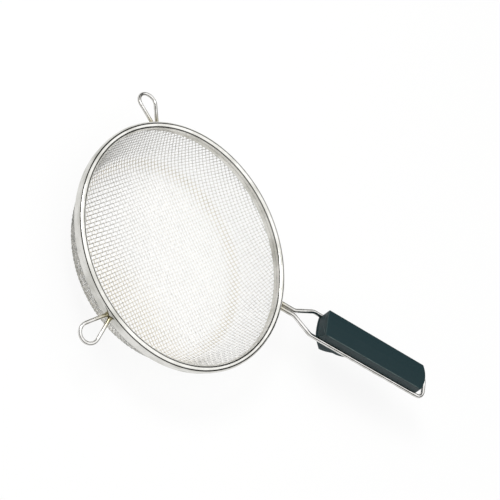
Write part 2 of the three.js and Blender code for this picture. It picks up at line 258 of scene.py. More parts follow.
class StageSettings(bpy.types.PropertyGroup):
    """The camera, the floor and the light."""

    aim: FloatVectorProperty(
        name="Aim",
        description="Point that the camera looks at",
        default=(60.06 * MM, 27.30 * MM, 42.0 * MM),
        size=3,
        unit="LENGTH",
        subtype="XYZ",
    )
    distance: length("Distance", "Distance from the camera to that point", 1157.5 * MM)
    azimuth: turn("Azimuth", "Angle of the camera round the bowl", -44.85)
    elevation: turn("Elevation", "Angle of the camera above the table", 43.894)
    roll: turn("Roll", "Lean of the picture's upward direction", -66.048)
    lens: FloatProperty(
        name="Lens", description="Focal length on a 36 mm sensor", default=103.67, unit="CAMERA", min=1.0
    )
    table_half: length("Table half", "Half the side of the square table", 3.0)
    table_drop: length("Table drop", "Gap between the bowl and the table", 0.05 * MM)
    floor: tint("Floor", "The table", "#f4f4f3")
    ceiling: tint("Ceiling", "The white studio ceiling", "#ffffff")
    wall: tint("Wall", "The dark studio walls, which draw dark lines on bright metal", "#1f1f1b")
    horizon: tint("Horizon", "The pale foot of the walls behind the table", "#d9d9d8")
    wall_foot: FloatVectorProperty(
        name="Wall foot",
        description="Where the pale foot turns to wall, as heights on a sphere of radius 1",
        default=(0.13, 0.18),
        size=2,
    )
    ceiling_edge: FloatVectorProperty(
        name="Ceiling edge",
        description="Where the wall turns to ceiling, as heights on a sphere of radius 1",
        default=(0.56, 0.69),
        size=2,
    )
    ceiling_light: FloatProperty(
        name="Ceiling light", description="Strength of the light from the studio", default=1.4, min=0.0
    )
    lamp_power: FloatProperty(
        name="Lamp power", description="Power of the key lamp in watts", default=6.5, min=0.0, unit="POWER"
    )
    lamp_place: FloatVectorProperty(
        name="Lamp place",
        description="Where the key lamp stands",
        default=(-0.8, 0.35, 1.1),
        size=3,
        unit="LENGTH",
        subtype="XYZ",
    )
    lamp_size: length("Lamp size", "Side of the square key lamp", 0.5)
    floor_glow: FloatProperty(
        name="Floor glow",
        description="Share of the floor that shows as plain white",
        default=0.86,
        min=0.0,
        max=1.0,
    )


# Shapes as arrays

def round_corners(corners, radii, steps):
    """Corners (..., n, 2) of closed outlines, each replaced by an arc that touches both its edges.

    With u and v the directions from a corner to its neighbours and h half the angle between them, the
    arc's centre lies at radius / sin(h) along u + v, and the arc turns by pi - 2h from u's side to v's.
    """
    to_last = np.roll(corners, 1, axis=-2) - corners
    to_next = np.roll(corners, -1, axis=-2) - corners
    to_last = to_last / np.linalg.norm(to_last, axis=-1, keepdims=True)
    to_next = to_next / np.linalg.norm(to_next, axis=-1, keepdims=True)
    # The limits keep a straight or folded corner from a division by nothing.
    half = np.arccos(np.clip((to_last * to_next).sum(-1), -0.999999, 0.999999)) / 2
    middle = to_last + to_next
    middle = middle / np.linalg.norm(middle, axis=-1, keepdims=True)
    centre = corners + middle * (radii / np.sin(half))[..., None]
    first = corners + to_last * (radii / np.tan(half))[..., None] - centre
    side = np.sign(to_last[..., 0] * to_next[..., 1] - to_last[..., 1] * to_next[..., 0])
    sweep = -(side * (pi - 2 * half))[..., None] * np.linspace(0, 1, steps)
    across = first[..., None, 0] * np.cos(sweep) - first[..., None, 1] * np.sin(sweep)
    along = first[..., None, 0] * np.sin(sweep) + first[..., None, 1] * np.cos(sweep)
    arcs = centre[..., None, :] + np.stack([across, along], axis=-1)
    return arcs.reshape(*corners.shape[:-2], -1, 2)


def split_edges(points, parts):
    """Closed outlines (..., n, c) with each edge cut into equal parts by straight interpolation."""
    edges = np.roll(points, -1, axis=-2) - points
    shares = np.arange(parts)[:, None] / parts
    cut = points[..., None, :] + edges[..., None, :] * shares
    return cut.reshape(*points.shape[:-2], -1, points.shape[-1])


def even_steps(path, count):
    """A path's points spaced evenly along its length, by interpolation on the distance travelled."""
    travelled = np.concatenate([[0], np.cumsum(np.linalg.norm(np.diff(path, axis=0), axis=1))])
    stations = np.linspace(0, travelled[-1], count)
    return np.stack([np.interp(stations, travelled, column) for column in path.T], axis=1), stations


def tube(centres, up, radius, sides):
    """Rings of points round a path: centre + radius (cos a N + sin a B), with B = T x N.

    T is the path's direction and N is `up` made square to it. The result is (..., rings, sides, 3).
    """
    ahead = np.gradient(centres, axis=-2)
    ahead = ahead / np.linalg.norm(ahead, axis=-1, keepdims=True)
    normal = up - ahead * (up * ahead).sum(-1, keepdims=True)
    normal = normal / np.linalg.norm(normal, axis=-1, keepdims=True)
    beside = np.cross(ahead, normal)
    angle = np.linspace(0, 2 * pi, sides, endpoint=False)[:, None]
    spokes = normal[..., None, :] * np.cos(angle) + beside[..., None, :] * np.sin(angle)
    return centres[..., None, :] + spokes * radius[..., None, None]


def quadratic(start, bend, end, steps):
    """Points of (1 - s)^2 start + 2 s (1 - s) bend + s^2 end, for s from 0 to 1."""
    share = np.linspace(0, 1, steps)[:, None]
    return (1 - share) ** 2 * start + 2 * share * (1 - share) * bend + share ** 2 * end


def welded_wire(path, wire, handle, rings, sides):
    """A level wire's rings of points along its path, with a weld at each end, and its marks.

    With d the distance along the wire to the nearer weld, the radius grows by swell exp(-(d / reach)^2)
    into the weld's collar, and the mark of the weld's heat is exp(-(d / heat)^2).
    """
    centres, stations = even_steps(path, rings)
    from_weld = np.minimum(stations, stations[-1] - stations)
    radius = wire / 2 + handle.weld_swell * np.exp(-(from_weld / handle.weld_reach) ** 2)
    upright = np.broadcast_to([0.0, 0.0, 1.0], (rings, 3))
    points = tube(np.pad(centres, ((0, 0), (0, 1))), upright, radius, sides)
    browned = np.exp(-(from_weld / handle.weld_heat) ** 2)
    return points, {"browned": np.broadcast_to(browned[:, None], points.shape[:-1])}


def placed(points, turned_about_y, turned_about_z, origin):
    """Points of a local frame, tipped about Y, turned about Z and moved to its origin."""
    matrix = Matrix.Rotation(turned_about_z, 3, "Z") @ Matrix.Rotation(turned_about_y, 3, "Y")
    return points @ np.array(matrix).T + np.array(origin)


def add_piece(name, rings, material, node, ring_closed=False, marks=None):
    """Makes an object from rings of points (tubes, rings, sides, 3) to stand for a node on the body.

    Neighbouring points of neighbouring rings make a quad. A tube's two end rings are closed by a face
    each, unless its last ring joins its first. `marks` are named values for each point.
    """
    rings = rings.reshape(-1, *rings.shape[-3:])
    tubes, count, sides = rings.shape[:3]
    index = np.arange(rings.size // 3).reshape(tubes, count, sides)
    ahead = np.roll(index, -1, axis=1)
    if not ring_closed:
        ahead = ahead[:, :-1]
    here = index[:, :ahead.shape[1]]
    quads = np.stack([here, np.roll(here, -1, axis=2), np.roll(ahead, -1, axis=2), ahead], axis=-1)
    corners = [quads.reshape(-1)]
    sizes = [np.full(quads.size // 4, 4)]
    if not ring_closed:
        caps = np.concatenate([index[:, 0, ::-1], index[:, -1]])
        corners.append(caps.reshape(-1))
        sizes.append(np.full(len(caps), sides))
    corners = np.concatenate(corners)
    sizes = np.concatenate(sizes)
    mesh = bpy.data.meshes.new(name)
    mesh.vertices.add(index.size)
    mesh.vertices.foreach_set("co", rings.reshape(-1).astype(np.float32))
    mesh.loops.add(len(corners))
    mesh.loops.foreach_set("vertex_index", corners.astype(np.int32))
    mesh.polygons.add(len(sizes))
    mesh.polygons.foreach_set("loop_start", (np.cumsum(sizes) - sizes).astype(np.int32))
    mesh.update(calc_edges=True)
    mesh.validate()
    mesh.shade_smooth()
    mesh.set_sharp_from_angle(angle=SHARP_ANGLE)
    for mark, values in (marks or {}).items():
        layer = mesh.attributes.new(mark, "FLOAT", "POINT")
        layer.data.foreach_set("value", values.reshape(-1).astype(np.float32))
    mesh.materials.append(material)
    piece = bpy.data.objects.new(name, mesh)
    bpy.context.scene.collection.objects.link(piece)
    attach(piece, "root")
    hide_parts(node)


# Materials

def add_node(tree, kind, inputs=None, **settings):
    """Adds a node with its settings; an input is a value, or another node's output to link from."""
    made = tree.nodes.new(kind)
    for name, value in settings.items():
        setattr(made, name, value)
    for socket, value in (inputs or {}).items():
        if isinstance(value, bpy.types.NodeSocket):
            tree.links.new(value, made.inputs[socket])
        else:
            made.inputs[socket].default_value = value
    return made


def new_material(name):
    """An empty node material, and its node tree."""
    material = bpy.data.materials.get(name)
    if material is None:
        material = bpy.data.materials.new(name)
    material.use_nodes = True
    material.node_tree.nodes.clear()
    return material, material.node_tree


def opaque(colour):
    """A linear colour with full alpha."""
    return (*colour, 1.0)


def tinned_sheet(finish):
    """Rolled sheet steel with a bright tin coat.

    Rolling leaves fine lines that follow the hoop, so highlights stretch along the rim, and
    handling leaves duller patches a finger wide.
    """
    material, tree = new_material("tinned_sheet_steel")
    place = add_node(tree, "ShaderNodeTexCoord").outputs["Object"]
    part = add_node(tree, "ShaderNodeSeparateXYZ", {0: place})
    flat = add_node(tree, "ShaderNodeCombineXYZ", {"X": part.outputs["X"], "Y": part.outputs["Y"]})
    radius = add_node(tree, "ShaderNodeVectorMath", {0: flat.outputs[0]}, operation="LENGTH")
    bearing = add_node(
        tree, "ShaderNodeMath", {0: part.outputs["Y"], 1: part.outputs["X"]}, operation="ARCTAN2"
    )
    # A radian of bearing is 100 mm of rim and counts as 2 mm, so a line is 50 times as long as wide.
    stretch = add_node(tree, "ShaderNodeMath", {0: bearing.outputs[0], 1: 2 * MM}, operation="MULTIPLY")
    rolled = add_node(
        tree,
        "ShaderNodeCombineXYZ",
        {"X": radius.outputs["Value"], "Y": part.outputs["Z"], "Z": stretch.outputs[0]},
    )
    # Rolling lines are about 0.1 mm apart; they are drawn 0.7 mm apart so that they show.
    lines = add_node(
        tree, "ShaderNodeTexNoise", {"Vector": rolled.outputs[0], "Scale": 1 / (0.7 * MM), "Detail": 3.0}
    )
    patches = add_node(tree, "ShaderNodeTexNoise", {"Vector": place, "Scale": 1 / (16 * MM), "Detail": 4.0})
    dulling = add_node(
        tree, "ShaderNodeMapRange", {"Value": patches.outputs["Fac"], "From Min": 0.42, "From Max": 0.78}
    )
    colour = add_node(
        tree,
        "ShaderNodeMix",
        {"Factor": dulling.outputs[0], "A": opaque(finish.sheet), "B": opaque(finish.sheet_dull)},
        data_type="RGBA",
    )
    gloss = add_node(
        tree,
        "ShaderNodeMapRange",
        {"Value": lines.outputs["Fac"], "From Min": 0.3, "From Max": 0.7, "To Min": 0.1, "To Max": 0.2},
    )
    relief = add_node(
        tree,
        "ShaderNodeBump",
        {"Height": lines.outputs["Fac"], "Strength": 0.12, "Distance": 0.03 * MM},
    )
    shader = add_node(
        tree,
        "ShaderNodeBsdfPrincipled",
        {
            "Base Color": colour.outputs["Result"],
            "Metallic": 1.0,
            "Roughness": gloss.outputs[0],
            "Normal": relief.outputs[0],
        },
    )
    add_node(tree, "ShaderNodeOutputMaterial", {"Surface": shader.outputs[0]})
    return material


def drawn_wire(finish):
    """Bright plated steel wire.

    Drawing through a die leaves it smooth and round, so it shows narrow bright and dark lines along
    its length, a little broken where the plating is thin. The heat of a weld browns its ends.
    """
    material, tree = new_material("bright_plated_wire")
    place = add_node(tree, "ShaderNodeTexCoord").outputs["Object"]
    patches = add_node(tree, "ShaderNodeTexNoise", {"Vector": place, "Scale": 1 / (7 * MM), "Detail": 5.0})
    dulling = add_node(
        tree, "ShaderNodeMapRange", {"Value": patches.outputs["Fac"], "From Min": 0.4, "From Max": 0.75}
    )
    browned = add_node(tree, "ShaderNodeAttribute", attribute_name="browned")
    layers = (
        (dulling.outputs[0], finish.wire_dull),
        (browned.outputs["Fac"], finish.wire_heat),
    )
    colour = opaque(finish.wire)
    for share, layer in layers:
        mixed = add_node(
            tree, "ShaderNodeMix", {"Factor": share, "A": colour, "B": opaque(layer)}, data_type="RGBA"
        )
        colour = mixed.outputs["Result"]
    gloss = add_node(
        tree, "ShaderNodeMapRange", {"Value": patches.outputs["Fac"], "To Min": 0.09, "To Max": 0.21}
    )
    # Die marks are hundredths of a millimetre; the bump is drawn 0.5 mm apart so that it shows.
    marks = add_node(tree, "ShaderNodeTexNoise", {"Vector": place, "Scale": 1 / (0.5 * MM), "Detail": 2.0})
    relief = add_node(
        tree, "ShaderNodeBump", {"Height": marks.outputs["Fac"], "Strength": 0.1, "Distance": 0.02 * MM}
    )
    shader = add_node(
        tree,
        "ShaderNodeBsdfPrincipled",
        {
            "Base Color": colour,
            "Metallic": 1.0,
            "Roughness": gloss.outputs[0],
            "Normal": relief.outputs[0],
        },
    )
    add_node(tree, "ShaderNodeOutputMaterial", {"Surface": shader.outputs[0]})
    return material


def woven_wire(finish):
    """Tinned steel wire cloth.

    The tin is dipped on after weaving, so each wire is a soft silver with duller places where the
    dip pooled at the crossings. Hard water leaves a thin matt white layer that is thickest on the
    bottom and on the side that drains last; the layer is also painted light that makes the bottom and
    that side brighter. Washing leaves a faint straw tone on one side, and the same tone along the bend
    of the bottom is painted shade. The outer face is painted dull grey in specks, as painted shade
    between glints.
    """
    material, tree = new_material("tinned_wire_cloth")
    place = add_node(tree, "ShaderNodeTexCoord").outputs["Object"]
    height = add_node(tree, "ShaderNodeSeparateXYZ", {0: place}).outputs["Z"]
    downhill = add_node(tree, "ShaderNodeVectorMath", {0: place, 1: WET_LIT_SIDE}, operation="DOT_PRODUCT")
    sideways = add_node(tree, "ShaderNodeVectorMath", {0: place, 1: STAINED_SIDE}, operation="DOT_PRODUCT")
    # The straw tone is strongest on the bend at 5 mm above the table, where it is painted shade along the
    # crease.
    above_bend = add_node(tree, "ShaderNodeMath", {0: height, 1: 5 * MM}, operation="SUBTRACT")
    from_bend = add_node(tree, "ShaderNodeMath", {0: above_bend.outputs[0]}, operation="ABSOLUTE")
    # Each fade is a smooth step between two places, from its strength at the first to that at the last.
    fades = {}
    for name, measured, first, last, at_first, at_last in (
        ("drained_lit", downhill.outputs["Value"], -75 * MM, 10 * MM, 0.0, 1.0),
        ("pooling", height, 3 * MM, 16 * MM, 1.0, 0.93),
        # Along the bend this tone is painted shade, not a stain.
        ("bend", from_bend.outputs[0], 0.0, 5 * MM, 0.7, 0.0),
        ("aside", sideways.outputs["Value"], 5 * MM, 60 * MM, 0.0, 1.0),
        ("low", height, 6 * MM, 24 * MM, 1.0, 0.0),
    ):
        fade = add_node(
            tree,
            "ShaderNodeMapRange",
            {"Value": measured, "From Min": first, "From Max": last, "To Min": at_first, "To Max": at_last},
            interpolation_type="SMOOTHSTEP",
        )
        fades[name] = fade.outputs[0]
    # The white layer is partly hard water and partly painted light on the bottom and on the side that
    # drains last.
    film_and_light = add_node(
        tree, "ShaderNodeMath", {0: fades["drained_lit"], 1: fades["pooling"]}, operation="MULTIPLY"
    )
    patches = add_node(tree, "ShaderNodeTexNoise", {"Vector": place, "Scale": 1 / (22 * MM), "Detail": 3.0})
    crossings = add_node(tree, "ShaderNodeAttribute", attribute_name="crossing")
    pooled = add_node(
        tree,
        "ShaderNodeMath",
        {0: patches.outputs["Fac"], 1: crossings.outputs["Fac"]},
        operation="MULTIPLY",
    )
    settled = add_node(tree, "ShaderNodeMath", {0: fades["aside"], 1: fades["low"]}, operation="MULTIPLY")
    stain_and_shade = add_node(
        tree, "ShaderNodeMath", {0: fades["bend"], 1: settled.outputs[0]}, operation="MAXIMUM"
    )
    # The outer face rinses clean, so half its mark already takes the whole straw tone and the bend's
    # painted shade away.
    outside = add_node(tree, "ShaderNodeAttribute", attribute_name="outside")
    inside = add_node(
        tree,
        "ShaderNodeMath",
        {0: outside.outputs["Fac"], 1: -2.0, 2: stain_and_shade.outputs[0]},
        operation="MULTIPLY_ADD",
        use_clamp=True,
    )
    streaks = add_node(tree, "ShaderNodeTexNoise", {"Vector": place, "Scale": 1 / (60 * MM), "Detail": 2.0})
    washed_and_shaded = add_node(
        tree, "ShaderNodeMath", {0: inside.outputs[0], 1: streaks.outputs["Fac"]}, operation="MULTIPLY"
    )
    # The specks are painted shade, one pitch wide, so that the outer face shows dark gaps between glints.
    specks = add_node(tree, "ShaderNodeTexNoise", {"Vector": place, "Scale": 1 / (3 * MM), "Detail": 1.0})
    shade_specks = add_node(
        tree, "ShaderNodeMapRange", {"Value": specks.outputs["Fac"], "From Min": 0.38, "From Max": 0.62}
    )
    # Painted shade on the outer face, in specks.
    marked = add_node(
        tree, "ShaderNodeMath", {0: outside.outputs["Fac"], 1: shade_specks.outputs[0]}, operation="MULTIPLY"
    )
    layers = (
        (film_and_light.outputs[0], finish.cloth_film_and_light),
        (pooled.outputs[0], finish.cloth_dull),
        (washed_and_shaded.outputs[0], finish.cloth_straw_and_shade),
        (marked.outputs[0], finish.cloth_outer_shade),
    )
    colour = opaque(finish.cloth)
    for share, layer in layers:
        mixed = add_node(
            tree, "ShaderNodeMix", {"Factor": share, "A": colour, "B": opaque(layer)}, data_type="RGBA"
        )
        colour = mixed.outputs["Result"]
    # Where that painted light lies, the cloth is matt and hardly metallic.
    bare = add_node(tree, "ShaderNodeMapRange", {"Value": film_and_light.outputs[0], "To Min": 1.0, "To Max": 0.15})
    gloss = add_node(tree, "ShaderNodeMapRange", {"Value": film_and_light.outputs[0], "To Min": 0.33, "To Max": 0.62})
    shader = add_node(
        tree,
        "ShaderNodeBsdfPrincipled",
        {"Base Color": colour, "Metallic": bare.outputs[0], "Roughness": gloss.outputs[0]},
    )
    add_node(tree, "ShaderNodeOutputMaterial", {"Surface": shader.outputs[0]})
    return material


def moulded_plastic(finish):
    """Satin black polypropylene, moulded in a spark-eroded tool.

    The tool leaves a fine even grain that spreads highlights. Hands rub the edges a little
    lighter and leave patches of more and of less gloss.
    """
    material, tree = new_material("satin_moulded_polypropylene")
    place = add_node(tree, "ShaderNodeTexCoord").outputs["Object"]
    # The grain is about 0.1 mm; it is drawn at 0.6 mm so that it shows.
    grain = add_node(tree, "ShaderNodeTexNoise", {"Vector": place, "Scale": 1 / (0.6 * MM), "Detail": 2.0})
    handled = add_node(tree, "ShaderNodeTexNoise", {"Vector": place, "Scale": 1 / (12 * MM), "Detail": 3.0})
    edge = add_node(tree, "ShaderNodeAttribute", attribute_name="edge")
    rubbed = add_node(
        tree, "ShaderNodeMath", {0: edge.outputs["Fac"], 1: handled.outputs["Fac"]}, operation="MULTIPLY"
    )
    colour = add_node(
        tree,
        "ShaderNodeMix",
        {"Factor": rubbed.outputs[0], "A": opaque(finish.plastic), "B": opaque(finish.plastic_worn)},
        data_type="RGBA",
    )
    gloss = add_node(
        tree, "ShaderNodeMapRange", {"Value": handled.outputs["Fac"], "To Min": 0.34, "To Max": 0.52}
    )
    relief = add_node(
        tree, "ShaderNodeBump", {"Height": grain.outputs["Fac"], "Strength": 0.35, "Distance": 0.05 * MM}
    )
    shader = add_node(
        tree,
        "ShaderNodeBsdfPrincipled",
        {
            "Base Color": colour.outputs["Result"],
            "Roughness": gloss.outputs[0],
            "IOR": 1.49,
            "Specular IOR Level": 0.13,
            "Normal": relief.outputs[0],
        },
    )
    add_node(tree, "ShaderNodeOutputMaterial", {"Surface": shader.outputs[0]})
    return material


def pale_table(stage):
    """A matt pale table.

    Rays from the camera and from bright metal see part of it as plain white; the rest is a matt
    surface that keeps the object's shadow.
    """
    material, tree = new_material("matt_pale_table")
    place = add_node(tree, "ShaderNodeTexCoord").outputs["Object"]
    mottle = add_node(tree, "ShaderNodeTexNoise", {"Vector": place, "Scale": 1 / (40 * MM), "Detail": 3.0})
    rough = add_node(
        tree, "ShaderNodeMapRange", {"Value": mottle.outputs["Fac"], "To Min": 0.85, "To Max": 0.95}
    )
    matt = add_node(
        tree, "ShaderNodeBsdfDiffuse", {"Color": opaque(stage.floor), "Roughness": rough.outputs[0]}
    )
    glow = add_node(tree, "ShaderNodeEmission", {"Color": WHITE, "Strength": 1.0})
    rays = add_node(tree, "ShaderNodeLightPath").outputs
    seen = add_node(
        tree, "ShaderNodeMath", {0: rays["Is Camera Ray"], 1: rays["Is Glossy Ray"]}, operation="MAXIMUM"
    )
    share = add_node(
        tree, "ShaderNodeMath", {0: seen.outputs[0], 1: stage.floor_glow}, operation="MULTIPLY"
    )
    mix = add_node(
        tree, "ShaderNodeMixShader", {"Fac": share.outputs[0], 1: matt.outputs[0], 2: glow.outputs[0]}
    )
    add_node(tree, "ShaderNodeOutputMaterial", {"Surface": mix.outputs[0]})
    return material


# Pieces

class STRAINER_OT_stage(bpy.types.Operator):
    """Make the table, the studio light and the camera"""

    bl_idname = "strainer.stage"
    bl_label = "Stage"

    def execute(self, context):
        stage = context.scene.strainer_stage
        self.add_floor(context, stage)
        self.light_studio(context, stage)
        self.add_lamp(context, stage)
        self.place_camera(context, stage)
        context.scene.view_settings.view_transform = "Standard"
        return {"FINISHED"}

    def add_floor(self, context, stage):
        """A square table top, just under the bowl."""
        half = stage.table_half
        drop = -stage.table_drop
        corners = [(-half, -half, drop), (half, -half, drop), (half, half, drop), (-half, half, drop)]
        mesh = bpy.data.meshes.new("table")
        mesh.from_pydata(corners, [], [(0, 1, 2, 3)])
        mesh.materials.append(pale_table(stage))
        table = bpy.data.objects.new("table", mesh)
        context.scene.collection.objects.link(table)

    def light_studio(self, context, stage):
        """Dark walls with a pale foot, under a white ceiling."""
        world = bpy.data.worlds.new("studio")
        world.use_nodes = True
        tree = world.node_tree
        tree.nodes.clear()
        facing = add_node(tree, "ShaderNodeTexCoord").outputs["Generated"]
        height = add_node(tree, "ShaderNodeSeparateXYZ", {0: facing}).outputs["Z"]
        colour = opaque(stage.horizon)
        for edge, above in ((stage.wall_foot, stage.wall), (stage.ceiling_edge, stage.ceiling)):
            passed = add_node(
                tree,
                "ShaderNodeMapRange",
                {"Value": height, "From Min": edge[0], "From Max": edge[1]},
                interpolation_type="SMOOTHSTEP",
            )
            mixed = add_node(
                tree,
                "ShaderNodeMix",
                {"Factor": passed.outputs[0], "A": colour, "B": opaque(above)},
                data_type="RGBA",
            )
            colour = mixed.outputs["Result"]
        light = add_node(
            tree, "ShaderNodeBackground", {"Color": colour, "Strength": stage.ceiling_light}
        )
        add_node(tree, "ShaderNodeOutputWorld", {"Surface": light.outputs[0]})
        context.scene.world = world

    def add_lamp(self, context, stage):
        """A square key lamp above the loops' side, turned to face the bowl."""
        light = bpy.data.lights.new("key_lamp", "AREA")
        light.size = stage.lamp_size
        light.energy = stage.lamp_power
        lamp = bpy.data.objects.new("key_lamp", light)
        lamp.location = stage.lamp_place
        lamp.rotation_euler = (-Vector(stage.lamp_place)).to_track_quat("-Z", "Y").to_euler()
        context.scene.collection.objects.link(lamp)

    def place_camera(self, context, stage):
        """The camera at its angle round the bowl, with the picture rolled about the line of sight."""
        level = cos(stage.elevation)
        back = Vector((level * sin(stage.azimuth), -level * cos(stage.azimuth), sin(stage.elevation)))
        right = Vector((0, 0, 1)).cross(back).normalized()
        up = back.cross(right)
        rolled_up = up * cos(stage.roll) + right * sin(stage.roll)
        rolled_right = right * cos(stage.roll) - up * sin(stage.roll)
        place = Vector(stage.aim) + back * stage.distance
        data = bpy.data.cameras.new("camera")
        data.sensor_width = SENSOR_WIDTH
        data.lens = stage.lens
        camera = bpy.data.objects.new("camera", data)
        axes = Matrix((rolled_right, rolled_up, back)).transposed()
        camera.matrix_world = Matrix.Translation(place) @ axes.to_4x4()
        context.scene.collection.objects.link(camera)
        context.scene.camera = camera


class STRAINER_OT_rim(bpy.types.Operator):
    """Fold the rim's sheet over its core wire and round the bowl"""

    bl_idname = "strainer.rim"
    bl_label = "Rim"

    def execute(self, context):
        sizes = context.scene.strainer_rim
        finish = context.scene.strainer_finish
        outline = self.folded_sheet(sizes)
        bearing = np.linspace(0, 2 * pi, sizes.steps, endpoint=False)[:, None]
        rings = np.stack(
            [
                outline[:, 0] * np.cos(bearing),
                outline[:, 0] * np.sin(bearing),
                np.broadcast_to(outline[:, 1], (sizes.steps, len(outline))),
            ],
            axis=-1,
        )
        material = tinned_sheet(finish)
        add_piece("rim_folded_sheet", rings, material, "rim_hoop", ring_closed=True)
        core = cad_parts["rim_core_wire"]
        core.data.materials.clear()
        core.data.materials.append(drawn_wire(finish))
        return {"FINISHED"}

    def folded_sheet(self, sizes):
        """The sheet's outline in (radius, height), as its middle line moved half a sheet to both sides.

        The middle line runs up the inner band, through a curved neck, round the bead and down the
        skirt. A neck is a quadratic curve from the bead's tangent to the upright leg, and the skirt
        turns out by the cube of its share of the way down.
        """
        half = sizes.sheet / 2
        centre = np.array([sizes.radius - sizes.bead_radius, sizes.top - sizes.bead_radius])
        bead = sizes.bead_radius - half
        leg = sizes.slot_half + half
        angles = np.linspace(pi + sizes.neck, -sizes.neck, BEAD_STEPS)
        arc = bead * np.stack([np.cos(angles), np.sin(angles)], axis=1)
        run = (arc[-1, 0] - leg) / sin(sizes.neck)
        bend = np.array([leg, arc[-1, 1] - run * cos(sizes.neck)])
        foot = bend - [0, run]
        neck = quadratic(arc[-1], bend, foot, NECK_STEPS)[1:]
        skirt_end = sizes.skirt_end - centre[1]
        share = np.linspace(0, 1, SKIRT_STEPS)[1:]
        flare = leg + sizes.skirt_flare * share ** 3
        skirt = np.stack([flare, foot[1] + (skirt_end - foot[1]) * share], axis=1)
        outer = np.vstack([neck, skirt])
        inner = np.vstack([[leg, -sizes.band], neck[::-1]]) * [-1, 1]
        middle = np.vstack([inner, arc, outer])
        ahead = np.gradient(middle, axis=0)
        ahead = ahead / np.linalg.norm(ahead, axis=1, keepdims=True)
        left = np.stack([-ahead[:, 1], ahead[:, 0]], axis=1)
        outline = np.vstack([middle + half * left, (middle - half * left)[::-1]])
        return outline + centre


class STRAINER_OT_cloth(bpy.types.Operator):
    """Weave the wire cloth and press it to the bowl"""

    bl_idname = "strainer.cloth"
    bl_label = "Mesh bowl"

    def execute(self, context):
        sizes = context.scene.strainer_cloth
        material = woven_wire(context.scene.strainer_finish)
        runs = self.profile_runs(sizes, context.scene.strainer_rim)
        reach = sum(runs)
        side_count = int(reach / sizes.pitch)
        numbers = np.arange(-side_count, side_count + 1)
        halves = np.array_split(numbers, 2)
        for thread, turned, sign in (("warp", 0, 1), ("weft", pi / 2, -1)):
            for half, group in zip(("near", "far"), halves):
                rings, marks = self.wires(sizes, runs, group, turned, sign)
                add_piece(f"mesh_{thread}_{half}", rings, material, "mesh_bowl", marks=marks)
        return {"FINISHED"}

    def profile_runs(self, sizes, rim):
        """Lengths along the bowl's profile: flat bottom, shoulder arc, leaning wall, upright collar.

        The wall leans in from the rim's slot, and the shoulder touches both the wall and the bottom.
        """
        hoop = rim.radius - rim.bead_radius
        knee = rim.top - rim.bead_radius - rim.band - sizes.knee_drop
        wall_foot = sizes.wire + sizes.shoulder * (1 - sin(sizes.lean))
        wall = (knee - wall_foot) / cos(sizes.lean)
        bottom = hoop - wall * sin(sizes.lean) - sizes.shoulder * cos(sizes.lean)
        return bottom, sizes.shoulder * (pi / 2 - sizes.lean), wall, sizes.top - knee

    def wires(self, sizes, runs, numbers, turned, sign):
        """One set of parallel wires, as tubes over the pressed cloth.

        Wire k lies k pitches off the middle of the flat cloth and runs across its circle. It waves by
        cos(pi (along / pitch + k)) times half a wire, so it passes over and under the other set.
        The marks are 1 at a crossing and on a wire's outer side.
        """
        reach = sum(runs)
        offset = numbers[:, None] * sizes.pitch
        chord = np.sqrt(reach ** 2 - offset ** 2)
        count = int(2 * reach / sizes.pitch * sizes.steps)
        along = chord * np.linspace(-1, 1, count)
        flat = np.stack([along, np.broadcast_to(offset, along.shape)], axis=-1)
        lay = sizes.weave_turn + turned
        flat = flat @ np.array([[cos(lay), sin(lay)], [-sin(lay), cos(lay)]])
        wave = np.cos(pi * (along / sizes.pitch + numbers[:, None]))
        middle, normal = self.pressed(sizes, runs, flat)
        centres = middle + normal * (sign * wave * sizes.wire / 2)[..., None]
        rings = tube(centres, normal, np.full(along.shape, sizes.wire / 2), sizes.sides)
        around = np.linspace(0, 2 * pi, sizes.sides, endpoint=False)
        marks = {
            "crossing": np.broadcast_to((wave ** 2)[..., None], rings.shape[:-1]),
            "outside": np.broadcast_to(np.maximum(-np.cos(around), 0), rings.shape[:-1]),
        }
        return rings, marks

    def pressed(self, sizes, runs, flat):
        """Points of the flat cloth on the pressed bowl, with the bowl's inward normals.

        A point keeps its bearing, and its distance from the middle is measured along the bowl's
        profile: flat bottom, shoulder arc, leaning wall, upright collar. Before that, two slow
        sine waves let the cloth drift, as pressing does.
        """
        bottom, arc, wall_run, collar_run = runs
        swing = 2 * pi / sizes.drift_span
        drift = np.sin(flat[..., ::-1] * [swing, DRIFT_RATIO * swing] + DRIFT_PHASES)
        reach = np.linalg.norm(flat, axis=-1, keepdims=True)
        fade = np.clip(1 - (reach / (bottom + arc)) ** 2, 0, 1)
        flat = flat + sizes.drift * drift * fade
        reach = np.linalg.norm(flat, axis=-1)
        bearing = np.arctan2(flat[..., 1], flat[..., 0])
        turned = np.clip(reach - bottom, 0, arc) / sizes.shoulder
        wall = np.clip(reach - bottom - arc, 0, wall_run)
        collar = np.clip(reach - bottom - arc - wall_run, 0, collar_run)
        radius = np.minimum(reach, bottom) + sizes.shoulder * np.sin(turned) + wall * sin(sizes.lean)
        height = sizes.wire + sizes.shoulder * (1 - np.cos(turned)) + wall * cos(sizes.lean) + collar
        slope = np.where(collar > 0, pi / 2, turned)
        points = np.stack([radius * np.cos(bearing), radius * np.sin(bearing), height], axis=-1)
        normal = np.stack(
            [-np.sin(slope) * np.cos(bearing), -np.sin(slope) * np.sin(bearing), np.cos(slope)], axis=-1
        )
        return points, normal


